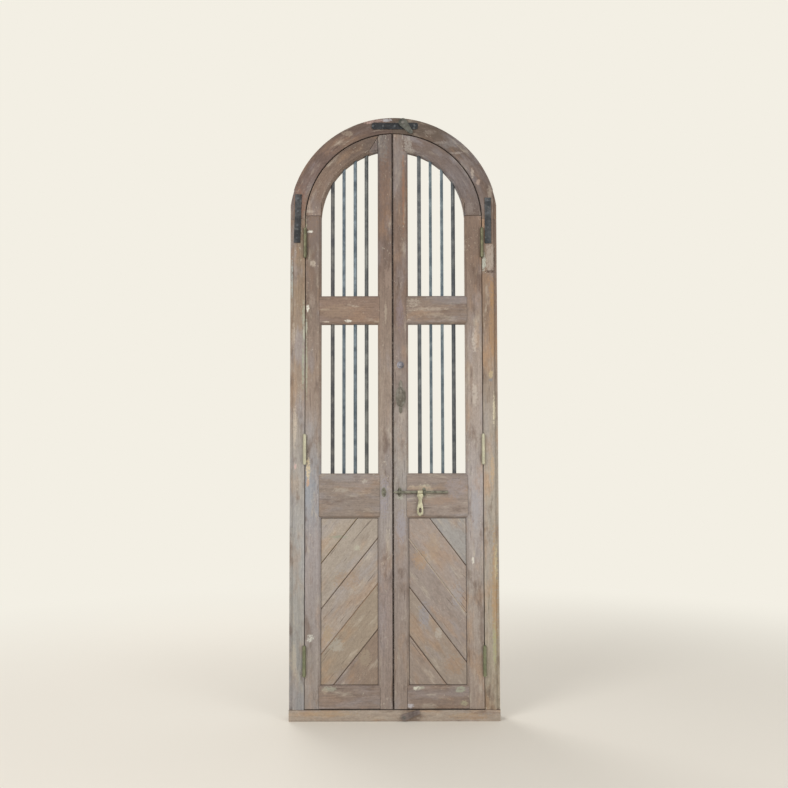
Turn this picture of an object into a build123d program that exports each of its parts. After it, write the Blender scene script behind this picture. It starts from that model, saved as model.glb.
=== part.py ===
from build123d import *
from math import atan2, cos, degrees, radians, sin, sqrt, tan
import os

# An arched double-leaf door of weathered teak in its own rebated frame.
# X runs across the door, Y from its front face to its back and Z up. The origin is the middle of the
# sill's underside, in the plane of the front face. Lengths are in millimetres, angles in degrees.

# Frame
frame_width = 850
frame_depth = 85
springing_height = 2030  # centre of every arch curve
jamb_face = 61  # from the outer edge to the leaf
arch_face = 66
stop_width = 15  # lip that the closed leaf rests against
sill_height = 46
sill_stop = 12
outer_step_width = 15
outer_step_depth = 12
springing_joint_rise = 7  # an arch segment stands on its jamb this far above the springing
frame_tenon = (30, 32)  # width and thickness
sill_tenon_length = 32
springing_tenon_length = 60
crown_tenon = (30, 40)  # length and height

# Leaves
leaf_thickness = 38
leaf_gap = 2.5
leaf_bottom_gap = 3
stop_gap = 1
meeting_line = -3  # the leaves meet a little left of the middle
meeting_gap = 1
meeting_bevel = 4  # closing edges slope back, so that each leaf swings clear
meeting_stile_width = 61.5
hinge_stile_width = {"left": 64, "right": 69}
stile_top_rise = 20  # the curved rail stands on the hinge stile this far above the springing
foot_tenon = (16, 14, 55)  # shoulder to the opening, shoulder to the edge, length
chamfer_size = 9
bottom_rail_top = 142
lock_rail_bottom = 811
lock_rail_height = 180
cross_rail_bottom = 1602
cross_rail_top = 1718
head_width = {"left": 55, "right": 43.5}  # meeting stile at the top of the leaf
head_lean = {"left": 32.3, "right": 0}  # of its joint with the curved rail, from upright
head_tenon = (24, 14, 26)  # length in the stile, length in the rail, height
tenon_thickness = 12
tenon_length = 42
tenon_inset = 14  # from a rail's edges to its tenons
lock_tenon_gap = 40  # between the lock rail's twin tenons
joint_slack = 0.2

# Diagonal boards of the lower panels, tongued together and held in a groove
board_count = 5
board_width = {"left": 115, "right": 117.5}
board_angle = {"left": 51, "right": 52.5}
board_thickness = 16
board_setback = 10
board_vee = 2.5
board_tongue = (6, 4)  # width and thickness
board_gap = 0.5
groove_depth = 12
board_hold = 10

# Grille of square iron bars, each turned a little in its holes, listed from left to right
bar_size = 12
bar_turns = {"left": (35, 8, 17, 35), "right": (32, 0, 3, 45)}
bar_top_hold = 22
bar_bottom_hold = 25
bar_slack = 0.3

# Butt hinges
hinge_rises = (98, 99, -93)  # above the bottom rail, above the lock rail and from the springing
hinge_height = 118
barrel_radius = 7
barrel_stand_off = 0.5
pin_radius = 3.5
pin_slack = 0.06
knuckles = 5
knuckle_gap = 0.4
flap_thickness = 2.4
flap_width = 30
flap_gap = 0.8  # between a hinge's closed flaps
pin_head = (5.2, 3)  # radius and height
hinge_screw_rows = ((-42, 21), (0, 9), (42, 21))  # along the hinge, and back from the face
screw_head_radius = 4.2
screw_shank_radius = 2.1
screw_length = 24
hole_slack = 0.05
cut_past = 1  # how far a bore runs past the face it opens in

# Iron straps and their nails
strap_thickness = 4
side_strap_width = 26.5
left_strap_place = (31, 2, 202, 1.7)  # in from the frame's edge, above its joint, length and lean
right_strap_place = (36.5, -8, 190, 0)
crown_strap_place = (6, 35.5, 191)  # across, down from the crown, and length
crown_strap_width = 27
crown_strap_corner = 9
side_nails = (-82, -30, 30, 82)  # along a side strap, from its centre
crown_nails = (-84, -42, 6, 88)
nail_head = (5, 2)  # radius and height
nail_dome = 1.8  # rounding of its rim
nail_radius = 2
nail_length = 34

# Turn buttons: radius at the pivot, radius at the tail, distance between and thickness
top_button_pivot = (39.7, 23)  # across, and down from the crown
top_button_size = (18, 8, 51, 5)
top_button_angle = 40  # from hanging straight down, tail to the right
bottom_button_pivot = (38, 17)  # across and up
bottom_button_size = (13, 8.5, 59, 5)
bottom_button_angle = 70  # from standing straight up, tail to the right
button_screw_radius = 3
button_screw_head = (6.5, 3)
button_screw_length = 38
button_bore_slack = 0.3
button_play = 0.2  # between a button and the washer or the screw's head
top_washer = (9, 2.6)
bottom_washer = (8, 1.5)

# Sliding bolt with its hanging hasp
bolt_rise = 15  # above the middle of the lock rail
bolt_stand_off = 11  # from the leaf's face to the bolt's centre
bolt_radius = 5.5
bolt_tip_x = -2.5
bolt_length = 220
bolt_point = (2.2, 14)  # end radius and length
bolt_end_bevel = 1.5
staple_wire = 2.3
staple_slack = 0.8
staple_depth = 26
staple_plate = (9, 19, 1.2)  # half width, half height and thickness
keeper_x = -41.7
staple_xs = (22.5, 121.5)
waist_radius = 4.5
waist_play = 0.4
hasp_x = 105.3
hasp_barrel = (8.5, 20)  # radius and length
hasp_cheek = 7  # straight drop of the barrel's ends, clear of the bolt
hasp_bore_slack = 0.3
hasp_thickness = 5
hasp_flank = ((13, -13), (9.5, -21), (7, -37), (12, -64), (12.2, -78))
hasp_length = 97
hasp_tangents = ((-0.2, -1), (-1, -0.6))  # where its foot leaves the flank, and at the tip
hasp_slot = (10.5, 20, 73)  # width, height and drop below the bolt

# Pull handle and the knob above it
handle_centre = (27.5, 1303)
handle_plate = (21, 42, 3)  # half width, half height and thickness
handle_finial = (7, 19, 49)  # half width, half height and distance from the middle
handle_span = 37
handle_rise = 30
handle_set_in = 2
handle_sections = ((4, 4), (6.5, 4.5), (9, 5), (6.5, 4.5), (4, 4))
knob_centre = (26.6, 1433.6)
knob_base = (14, 2.5)
knob_dome = (10, 10)

# Worked out from the sizes above
half_width = frame_width / 2
rebate_radius = half_width - jamb_face
outer_radius = rebate_radius + arch_face
crown_height = springing_height + outer_radius
springing_joint = springing_height + springing_joint_rise
stile_top = springing_height + stile_top_rise
lock_rail_top = lock_rail_bottom + lock_rail_height
bolt_height = lock_rail_bottom + lock_rail_height / 2 + bolt_rise
hinge_levels = (bottom_rail_top, lock_rail_top, springing_height)
hinge_centres = tuple(level + rise for level, rise in zip(hinge_levels, hinge_rises))
left_strap_x = left_strap_place[0] - half_width
right_strap_x = half_width - right_strap_place[0]
left_strap = (left_strap_x, springing_joint + left_strap_place[1], *left_strap_place[2:])
right_strap = (right_strap_x, springing_joint + right_strap_place[1], *right_strap_place[2:])
crown_strap = (crown_strap_place[0], crown_height - crown_strap_place[1], crown_strap_place[2])
top_button = ((top_button_pivot[0], crown_height - top_button_pivot[1]), *top_button_size)
bottom_button = (bottom_button_pivot, *bottom_button_size)
stop_radius = rebate_radius - stop_width
stop_depth = leaf_thickness + stop_gap
leaf_radius = rebate_radius - leaf_gap
leaf_bottom = sill_height + leaf_bottom_gap
step_x = half_width - outer_step_width
hinge_x = rebate_radius - leaf_gap / 2
hinge_y = -(barrel_radius + barrel_stand_off)
bolt_y = -bolt_stand_off
staple_bend = bolt_radius + staple_slack + staple_wire
frame_tenon_middle = (half_width + rebate_radius) / 2
frame_tenon_x = (frame_tenon_middle - frame_tenon[0] / 2, frame_tenon_middle + frame_tenon[0] / 2)
frame_tenon_y = ((frame_depth - frame_tenon[1]) / 2, (frame_depth + frame_tenon[1]) / 2)
leaf_tenon_y = ((leaf_thickness - tenon_thickness) / 2, (leaf_thickness + tenon_thickness) / 2)
groove_y = (board_setback, board_setback + board_thickness)
groove_z = (bottom_rail_top - groove_depth, lock_rail_bottom + groove_depth)
screw_head_depth = screw_head_radius - screw_shank_radius
top_button_back = -(strap_thickness + top_washer[1] + button_play)
bottom_button_back = -(bottom_washer[1] + button_play)
sides = {"left": -1, "right": 1}

os.makedirs("parts", exist_ok=True)


def save(piece, name):
    piece.label = name
    export_step(piece, f"parts/{name}.step")


def save_side(piece, side, name):
    """Both sides are drawn with their hinges at +X, and the left one is saved as a mirror image."""
    placed = mirror(piece, about=Plane.YZ) if side == "left" else piece
    save(placed, f"{side}_{name}")


def turned(side, x):
    """X in the drawn side for an X on the door."""
    return sides[side] * x


def at_depth(y):
    """The plane that faces the viewer at depth y, with X and Z as its axes."""
    return Plane.XZ.offset(-y)


def slab(x_range, y_range, z_range, mode=Mode.ADD, slack=0):
    """A straight-sided block given by its ends on each axis, grown by slack all round."""
    ranges = (x_range, y_range, z_range)
    with Locations(tuple((low + high) / 2 for low, high in ranges)):
        Box(*[high - low + 2 * slack for low, high in ranges], mode=mode)


def upright(points, z_range, mode=Mode.ADD):
    """A vertical prism on a plan outline."""
    with BuildSketch(Plane.XY.offset(z_range[0])) as plan:
        Polygon(*points, align=None)
    extrude(plan.sketch, amount=z_range[1] - z_range[0], mode=mode)


def deepen(sketch, thickness, mode=Mode.ADD):
    """Extrudes a sketch away from the viewer."""
    extrude(sketch, amount=-thickness, mode=mode)


def pegs(spots, radius, y_range, mode=Mode.ADD):
    """Round pegs or holes along Y at each (x, z)."""
    with BuildSketch(at_depth(y_range[0])) as rounds:
        with Locations(*spots):
            Circle(radius)
    deepen(rounds.sketch, y_range[1] - y_range[0], mode)


def arch_height(radius, x):
    return springing_height + sqrt(radius**2 - x**2)


# Nails lie along the straps. Every frame piece is bored for all of them, on the side it is drawn on.
nail_spots = {"crown_strap": [(x, crown_strap[1]) for x in crown_nails]}
for name, (x, z, length, lean) in (("left_strap", left_strap), ("right_strap", right_strap)):
    nail_spots[name] = [(x + n * sin(radians(lean)), z + n * cos(radians(lean))) for n in side_nails]
all_nails = [spot for spots in nail_spots.values() for spot in spots]
button_pivots = [top_button[0], bottom_button[0]]


def bore_frame_piece(side):
    nails = [(turned(side, x), z) for x, z in all_nails]
    pegs(nails, nail_radius + hole_slack, (0, nail_length + hole_slack), Mode.SUBTRACT)
    pivots = [(turned(side, x), z) for x, z in button_pivots]
    pegs(pivots, button_screw_radius + hole_slack, (0, button_screw_length + hole_slack), Mode.SUBTRACT)


# The sill lies across the bottom, with a stop behind the leaves and a mortise under each jamb.
with BuildPart() as sill:
    slab((-half_width, half_width), (0, frame_depth), (0, sill_height))
    stop_half = stop_radius - joint_slack
    slab((-stop_half, stop_half), (stop_depth, frame_depth), (0, sill_height + sill_stop))
    for side in sides:
        mortise_x = sorted(turned(side, x) for x in frame_tenon_x)
        mortise_z = (sill_height - sill_tenon_length, sill_height)
        slab(mortise_x, frame_tenon_y, mortise_z, Mode.SUBTRACT, joint_slack)
    bore_frame_piece("right")
save(sill.part, "sill")


# Hinge screws share their places between flaps, wood and the screws themselves.
def hinge_screw_places():
    """Depth and height of each hinge screw."""
    return [(y, z + dz) for z in hinge_centres for dz, y in hinge_screw_rows]


def screw_shanks(start, way, radius, length, mode=Mode.ADD):
    """Round shanks or holes along X from start, towards +X or -X."""
    with BuildSketch(Plane.YZ.offset(start)) as rounds:
        with Locations(*hinge_screw_places()):
            Circle(radius)
    extrude(rounds.sketch, amount=way * length, mode=mode)


def screw_heads(start, way, mode=Mode.ADD):
    """Countersunk heads with their flat tops at start."""
    x = start + way * screw_head_depth / 2
    with Locations(*[Location((x, y, z), (0, 90 * way, 0)) for y, z in hinge_screw_places()]):
        Cone(screw_head_radius, screw_shank_radius, screw_head_depth, mode=mode)


def hinge_seats(x_range):
    """Recesses for the three hinge flaps in an edge."""
    for z in hinge_centres:
        seat_z = (z - hinge_height / 2, z + hinge_height / 2)
        slab(x_range, (0, flap_width), seat_z, Mode.SUBTRACT, joint_slack)


# Each jamb is one length of rebated timber with a shallow step down its outer front arris.
jamb_plan = [
    (rebate_radius, 0),
    (step_x, 0),
    (step_x, outer_step_depth),
    (half_width, outer_step_depth),
    (half_width, frame_depth),
    (stop_radius, frame_depth),
    (stop_radius, stop_depth),
    (rebate_radius, stop_depth),
]
fixed_flap_back = hinge_x + flap_gap / 2 + flap_thickness
moving_flap_back = hinge_x - flap_gap / 2 - flap_thickness
for side in sides:
    with BuildPart() as jamb:
        upright(jamb_plan, (sill_height, springing_joint))
        slab(frame_tenon_x, frame_tenon_y, (sill_height - sill_tenon_length, sill_height))
        slab(frame_tenon_x, frame_tenon_y, (springing_joint, springing_joint + springing_tenon_length))
        hinge_seats((rebate_radius, fixed_flap_back))
        screw_shanks(fixed_flap_back, 1, screw_shank_radius + hole_slack, screw_length, Mode.SUBTRACT)
        bore_frame_piece(side)
    save_side(jamb.part, side, "jamb")


def frame_band(side, inner, y):
    """One side's half of the frame's arch above the springing joint, in front view."""
    crown_joint = turned(side, meeting_line)
    with BuildSketch(at_depth(y)) as band:
        with Locations((0, springing_height)):
            Circle(outer_radius)
            Circle(inner, mode=Mode.SUBTRACT)
        with Locations(((crown_joint + half_width) / 2, (springing_joint + crown_height) / 2)):
            Rectangle(half_width - crown_joint, crown_height - springing_joint, mode=Mode.INTERSECT)
    return band.sketch


# The arch is two curved segments that meet at the crown, over the leaves' own joint. The left one has a
# tongue there that enters the right one.
crown_tenon_middle = springing_height + (rebate_radius + outer_radius) / 2
crown_tenon_z = (crown_tenon_middle - crown_tenon[1] / 2, crown_tenon_middle + crown_tenon[1] / 2)
for side in sides:
    front_band = frame_band(side, rebate_radius, 0)
    back_band = frame_band(side, stop_radius, stop_depth)
    with BuildPart() as arch_segment:
        deepen(front_band, stop_depth)
        deepen(back_band, frame_depth - stop_depth)
        slab((step_x, half_width), (0, outer_step_depth), (springing_joint, crown_height), Mode.SUBTRACT)
        tenon_z = (springing_joint, springing_joint + springing_tenon_length)
        slab(frame_tenon_x, frame_tenon_y, tenon_z, Mode.SUBTRACT, joint_slack)
        crown_joint = turned(side, meeting_line)
        if side == "left":
            slab((crown_joint - crown_tenon[0], crown_joint), frame_tenon_y, crown_tenon_z)
        else:
            tongue_x = (crown_joint, crown_joint + crown_tenon[0])
            slab(tongue_x, frame_tenon_y, crown_tenon_z, Mode.SUBTRACT, joint_slack)
        bore_frame_piece(side)
    save_side(arch_segment.part, side, "arch_segment")

# Flat iron straps cover the frame's three joints.
for name, (x, z, length, lean) in (("left_strap", left_strap), ("right_strap", right_strap)):
    with BuildPart() as side_strap:
        with BuildSketch(at_depth(-strap_thickness)):
            with Locations(Location((x, z), -lean)):
                Rectangle(side_strap_width, length)
        extrude(amount=-strap_thickness)
        pegs(nail_spots[name], nail_radius + hole_slack, (-strap_thickness, 0), Mode.SUBTRACT)
    save(side_strap.part, name)

with BuildPart() as crown_plate:
    with BuildSketch(at_depth(-strap_thickness)):
        with Locations(crown_strap[:2]):
            RectangleRounded(crown_strap[2], crown_strap_width, crown_strap_corner)
    extrude(amount=-strap_thickness)
    pegs(nail_spots["crown_strap"], nail_radius + hole_slack, (-strap_thickness, 0), Mode.SUBTRACT)
    pegs([top_button[0]], button_screw_radius + hole_slack, (-strap_thickness, 0), Mode.SUBTRACT)
save(crown_plate.part, "crown_strap")

with BuildPart() as strap_nails:
    pegs(all_nails, nail_radius, (-strap_thickness, nail_length))
    pegs(all_nails, nail_head[0], (-strap_thickness - nail_head[1], -strap_thickness))
    front_rims = strap_nails.edges().filter_by(GeomType.CIRCLE).group_by(Axis.Y)[0]
    fillet(front_rims, nail_dome)
save(strap_nails.part, "strap_nails")


def hinge_half(way):
    """Three flaps with their knuckles: the frame's (+1), with the outer knuckles, or the leaf's (-1)."""
    inner_face = hinge_x + way * flap_gap / 2
    flap_x = sorted((inner_face, inner_face + way * flap_thickness))
    first_knuckle = 0 if way > 0 else 1
    pitch = hinge_height / knuckles
    for middle in hinge_centres:
        bottom = middle - hinge_height / 2
        slab(flap_x, (0, flap_width), (bottom, bottom + hinge_height))
        for n in range(first_knuckle, knuckles, 2):
            knuckle_z = (bottom + pitch * n + knuckle_gap / 2, bottom + pitch * (n + 1) - knuckle_gap / 2)
            slab(flap_x, (hinge_y, 0), knuckle_z)
            with Locations((hinge_x, hinge_y, sum(knuckle_z) / 2)):
                Cylinder(barrel_radius, knuckle_z[1] - knuckle_z[0])
    with Locations(*[(hinge_x, hinge_y, z) for z in hinge_centres]):
        Cylinder(pin_radius + pin_slack, hinge_height + 2 * cut_past, mode=Mode.SUBTRACT)
    screw_heads(inner_face, way, Mode.SUBTRACT)
    screw_shanks(inner_face, way, screw_shank_radius + hole_slack, flap_thickness + cut_past, Mode.SUBTRACT)


def hinge_screws(way):
    inner_face = hinge_x + way * flap_gap / 2
    screw_shanks(inner_face, way, screw_shank_radius, screw_length)
    screw_heads(inner_face, way)


for side in sides:
    with BuildPart() as fixed_flaps:
        hinge_half(1)
    save_side(fixed_flaps.part, side, "frame_hinge_flaps")
    with BuildPart() as hinge_pins:
        with Locations(*[(hinge_x, hinge_y, z) for z in hinge_centres]):
            Cylinder(pin_radius, hinge_height)
        head_radius, head_height = pin_head
        offset_z = (hinge_height + head_height) / 2
        with Locations(*[(hinge_x, hinge_y, z + end * offset_z) for z in hinge_centres for end in (-1, 1)]):
            Cylinder(head_radius, head_height)
    save_side(hinge_pins.part, side, "hinge_pins")

with BuildPart() as frame_hinge_screws:
    hinge_screws(1)
    mirror(about=Plane.YZ)
save(frame_hinge_screws.part, "frame_hinge_screws")


# From here to the end of the two leaves, every piece is drawn with its hinges at +X.
rails = {
    "bottom_rail": (leaf_bottom, bottom_rail_top),
    "lock_rail": (lock_rail_bottom, lock_rail_top),
    "cross_rail": (cross_rail_bottom, cross_rail_top),
}
rail_bevels = {
    "bottom_rail": ((bottom_rail_top, -1),),
    "lock_rail": ((lock_rail_bottom, 1), (lock_rail_top, -1)),
    "cross_rail": ((cross_rail_bottom, 1), (cross_rail_top, -1)),
}
meeting_edge = {side: turned(side, meeting_line) + meeting_gap / 2 for side in sides}
opening = {
    side: (meeting_edge[side] + meeting_stile_width, leaf_radius - hinge_stile_width[side]) for side in sides
}
staple_spots = {"left": [turned("left", keeper_x)], "right": staple_xs}


def bars(side):
    """Place and turn of each bar of a leaf, from the meeting stile outward."""
    inner, outer = opening[side]
    turns = bar_turns[side] if side == "right" else bar_turns[side][::-1]
    pitch = (outer - inner) / (len(turns) + 1)
    return [(inner + n * pitch, angle) for n, angle in enumerate(turns, 1)]


def bar_section(x, angle, size, z):
    with BuildSketch(Plane.XY.offset(z)) as section:
        with Locations(Location((x, leaf_thickness / 2), angle)):
            Rectangle(size, size)
    return section.sketch


def bar_top(side, x):
    return arch_height(opening[side][1], x) + bar_top_hold


def bar_holes(side):
    """Square holes for the leaf's bars, in whichever rail is being made."""
    bottom = lock_rail_top - bar_bottom_hold
    for x, angle in bars(side):
        section = bar_section(x, angle, bar_size + 2 * bar_slack, bottom)
        extrude(section, amount=bar_top(side, x) - bottom, mode=Mode.SUBTRACT)


def staple_holes(side):
    spots = [(x, bolt_height + turn * staple_bend) for x in staple_spots[side] for turn in (-1, 1)]
    pegs(spots, staple_wire + hole_slack, (0, staple_depth + hole_slack), Mode.SUBTRACT)


def tenons(rail):
    """Heights of a rail's tenons. The lock rail has two."""
    low, high = rails[rail][0] + tenon_inset, rails[rail][1] - tenon_inset
    middle = (low + high) / 2
    if rail == "lock_rail":
        return [(low, middle - lock_tenon_gap / 2), (middle + lock_tenon_gap / 2, high)]
    return [(low, high)]


def cut_mortises(side):
    """Mortises for all the rails' tenons and the groove for the boards."""
    inner, outer = opening[side]
    for rail in rails:
        for tenon_z in tenons(rail):
            reach = (inner - tenon_length, outer + tenon_length)
            slab(reach, leaf_tenon_y, tenon_z, Mode.SUBTRACT, joint_slack)
    slab((inner - groove_depth, outer + groove_depth), groove_y, groove_z, Mode.SUBTRACT)


def head_joint_x(side, z):
    """Where the meeting stile's head meets the curved rail, at height z."""
    x = meeting_edge[side] + head_width[side]
    return x + (arch_height(leaf_radius, x) - z) * tan(radians(head_lean[side]))


def head_joint_line(side):
    """The same joint as two points, from above the leaf down to the springing."""
    return [(head_joint_x(side, z), z) for z in (crown_height, springing_height)]


def head_tenon_box(side):
    """The curved rail's tenon in the meeting stile's head."""
    into_stile, into_rail, height = head_tenon
    x = meeting_edge[side] + head_width[side]
    middle = (arch_height(leaf_radius, x) + arch_height(opening[side][1], x)) / 2
    x = head_joint_x(side, middle)
    return (x - into_stile, x + into_rail), leaf_tenon_y, (middle - height / 2, middle + height / 2)


def foot_tenon_box(side):
    """The hinge stile's tenon in the foot of the curved rail."""
    from_opening, from_edge, length = foot_tenon
    x_range = (opening[side][1] + from_opening, leaf_radius - from_edge)
    return x_range, leaf_tenon_y, (stile_top, stile_top + length)


def arch_band(side, corners):
    """The leaf's arched band in front view, kept inside the polygon."""
    with BuildSketch(Plane.XZ) as band:
        with Locations((0, springing_height)):
            Circle(leaf_radius)
            Circle(opening[side][1], mode=Mode.SUBTRACT)
        Polygon(*corners, align=None, mode=Mode.INTERSECT)
    return band.sketch


def opening_bevel(side):
    """The arched opening as a block that widens towards the front, for its bevelled arris."""
    inner, outer = opening[side]
    plan = [(inner - chamfer_size, 0), (outer, 0), (outer, chamfer_size), (inner, chamfer_size)]
    with BuildPart() as bevel:
        upright(plan, (springing_height, crown_height))
        with Locations(Location((0, chamfer_size / 2, springing_height), (90, 0, 0))):
            Cone(outer, outer + chamfer_size, chamfer_size, mode=Mode.INTERSECT)
        upright(plan, (leaf_bottom, springing_height))
    return bevel.part


def make_hinge_stile(side):
    outer = opening[side][1]
    plan = [
        (outer + chamfer_size, 0),
        (leaf_radius, 0),
        (leaf_radius, leaf_thickness),
        (outer, leaf_thickness),
        (outer, chamfer_size),
    ]
    with BuildPart() as stile:
        upright(plan, (leaf_bottom, stile_top))
        slab(*foot_tenon_box(side))
        cut_mortises(side)
        hinge_seats((moving_flap_back, leaf_radius))
        screw_shanks(moving_flap_back, -1, screw_shank_radius + hole_slack, screw_length, Mode.SUBTRACT)
    save_side(stile.part, side, "hinge_stile")


def make_meeting_stile(side, bevel):
    edge = meeting_edge[side]
    inner, outer = opening[side]
    upper_point, lower_point = head_joint_line(side)
    slope_back = leaf_thickness * tan(radians(meeting_bevel))
    shaft_middle = ((edge + inner) / 2, (leaf_bottom + springing_height) / 2)
    with BuildSketch(Plane.XZ) as shaft:
        with Locations((0, springing_height)):
            Circle(outer)
        with Locations(((edge + inner) / 2, crown_height)):
            Rectangle(inner - edge, 2 * (crown_height - springing_height), mode=Mode.INTERSECT)
        with Locations(shaft_middle):
            Rectangle(inner - edge, springing_height - leaf_bottom)
    corners = [upper_point, lower_point, (edge, springing_height), (edge, crown_height)]
    head = arch_band(side, corners)
    with BuildPart() as stile:
        deepen(shaft.sketch, leaf_thickness)
        deepen(head, leaf_thickness)
        wedge = [(edge, 0), (edge + slope_back, leaf_thickness), (edge, leaf_thickness)]
        upright(wedge, (leaf_bottom, crown_height), Mode.SUBTRACT)
        add(bevel, mode=Mode.SUBTRACT)
        slab(*head_tenon_box(side), Mode.SUBTRACT, joint_slack)
        cut_mortises(side)
        bar_holes(side)
        staple_holes(side)
    save_side(stile.part, side, "meeting_stile")


def make_curved_rail(side, bevel):
    upper_point, lower_point = head_joint_line(side)
    corners = [upper_point, lower_point, (leaf_radius, springing_height), (leaf_radius, crown_height)]
    band = arch_band(side, corners)
    with BuildPart() as rail:
        deepen(band, leaf_thickness)
        slab((0, leaf_radius), (0, leaf_thickness), (springing_height, stile_top), Mode.SUBTRACT)
        add(bevel, mode=Mode.SUBTRACT)
        slab(*head_tenon_box(side))
        slab(*foot_tenon_box(side), Mode.SUBTRACT, joint_slack)
        bar_holes(side)
    save_side(rail.part, side, "curved_rail")


def make_rail(side, name):
    """A rail scribed over the stiles' bevels, with its own bevels towards the openings."""
    low, high = rails[name]
    inner, outer = opening[side]
    plan = [
        (inner - chamfer_size, 0),
        (outer + chamfer_size, 0),
        (outer, chamfer_size),
        (outer, leaf_thickness),
        (inner, leaf_thickness),
        (inner, chamfer_size),
    ]
    with BuildPart() as rail:
        upright(plan, (low, high))
        for z, into in rail_bevels[name]:
            with BuildSketch(Plane.YZ.offset(inner - chamfer_size)):
                Polygon((0, z + into * chamfer_size), (chamfer_size, z), (0, z), align=None)
            extrude(amount=outer - inner + 2 * chamfer_size, mode=Mode.SUBTRACT)
        for tenon_z in tenons(name):
            slab((inner - tenon_length, outer + tenon_length), leaf_tenon_y, tenon_z)
        slab((inner - joint_slack, outer + joint_slack), groove_y, groove_z, Mode.SUBTRACT)
        bar_holes(side)
        staple_holes(side)
    save_side(rail.part, side, name)


def make_boards(side):
    """Tongued boards laid on the slant, counted from the panel's upper outer corner."""
    inner, outer = opening[side]
    angle = radians(board_angle[side])
    width = board_width[side]
    beyond = lock_rail_bottom - bottom_rail_top + outer - inner
    tongue, tongue_thickness = board_tongue
    front, back = board_setback + joint_slack, board_setback + board_thickness - joint_slack
    tongue_front, tongue_back = (front + back - tongue_thickness) / 2, (front + back + tongue_thickness) / 2
    section = Plane(
        origin=(outer, 0, lock_rail_bottom),
        x_dir=(sin(angle), 0, cos(angle)),
        z_dir=(cos(angle), 0, -sin(angle)),
    )
    for n in range(board_count):
        low = -(n + 1) * width + board_gap / 2 if n < board_count - 1 else -beyond
        high = -n * width - board_gap / 2 if n else beyond
        profile = [
            (low + board_vee, front),
            (high - board_vee, front),
            (high, front + board_vee),
            (high, tongue_front),
            (high + tongue, tongue_front),
            (high + tongue, tongue_back),
            (high, tongue_back),
            (high, back),
            (low, back),
            (low, tongue_back + joint_slack),
            (low + tongue, tongue_back + joint_slack),
            (low + tongue, tongue_front - joint_slack),
            (low, tongue_front - joint_slack),
            (low, front + board_vee),
        ]
        with BuildPart() as board:
            with BuildSketch(section):
                Polygon(*[(a, -b) for a, b in profile], align=None)
            extrude(amount=2 * beyond, both=True)
            slab(
                (inner - board_hold, outer + board_hold),
                (front, back),
                (bottom_rail_top - board_hold, lock_rail_bottom + board_hold),
                Mode.INTERSECT,
            )
        save_side(board.part, side, f"board_{n + 1}")


def make_bars(side):
    bottom = lock_rail_top - bar_bottom_hold + bar_slack
    for n, (x, angle) in enumerate(bars(side), 1):
        with BuildPart() as bar:
            extrude(bar_section(x, angle, bar_size, bottom), amount=bar_top(side, x) - bar_slack - bottom)
        save_side(bar.part, side, f"bar_{n}")


for side in sides:
    side_bevel = opening_bevel(side)
    make_hinge_stile(side)
    make_meeting_stile(side, side_bevel)
    make_curved_rail(side, side_bevel)
    for rail_name in rails:
        make_rail(side, rail_name)
    make_boards(side)
    make_bars(side)
    with BuildPart() as moving_flaps:
        hinge_half(-1)
    save_side(moving_flaps.part, side, "leaf_hinge_flaps")
    with BuildPart() as leaf_hinge_screws:
        hinge_screws(-1)
    save_side(leaf_hinge_screws.part, side, "leaf_hinge_screws")


def staple(x):
    """A bent staple over the bolt on an oval plate, with both legs driven into the wood."""
    half_w, half_h, thickness = staple_plate
    with BuildSketch(at_depth(-thickness)) as plate:
        with Locations((x, bolt_height)):
            Ellipse(half_w, half_h)
    deepen(plate.sketch, thickness)
    top, bottom = bolt_height + staple_bend, bolt_height - staple_bend
    with BuildLine() as path:
        Line((x, staple_depth, top), (x, bolt_y, top))
        ThreePointArc((x, bolt_y, top), (x, bolt_y - staple_bend, bolt_height), (x, bolt_y, bottom))
        Line((x, bolt_y, bottom), (x, staple_depth, bottom))
    with BuildSketch(Plane(origin=(x, staple_depth, top), z_dir=(0, -1, 0))) as wire:
        Circle(staple_wire)
    sweep(wire.sketch, path=path.line)


with BuildPart() as bolt_keeper:
    staple(keeper_x)
save(bolt_keeper.part, "bolt_keeper")

with BuildPart() as bolt_staples:
    for staple_x in staple_xs:
        staple(staple_x)
save(bolt_staples.part, "bolt_staples")

# The bolt is a round rod, pointed at its left end, with a waist for the hasp to turn on.
waist_half = hasp_barrel[1] / 2 + waist_play
bolt_end_x = bolt_tip_x + bolt_length
bolt_profile = [
    (bolt_tip_x, 0),
    (bolt_tip_x, bolt_point[0]),
    (bolt_tip_x + bolt_point[1], bolt_radius),
    (hasp_x - waist_half, bolt_radius),
    (hasp_x - waist_half, waist_radius),
    (hasp_x + waist_half, waist_radius),
    (hasp_x + waist_half, bolt_radius),
    (bolt_end_x - bolt_end_bevel, bolt_radius),
    (bolt_end_x, bolt_radius - bolt_end_bevel),
    (bolt_end_x, 0),
]
with BuildPart() as bolt_rod:
    with BuildSketch(Plane.XY.offset(bolt_height)):
        Polygon(*[(x, bolt_y + radius) for x, radius in bolt_profile], align=None)
    revolve(axis=Axis((0, bolt_y, bolt_height), (1, 0, 0)))
save(bolt_rod.part, "bolt_rod")

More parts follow.
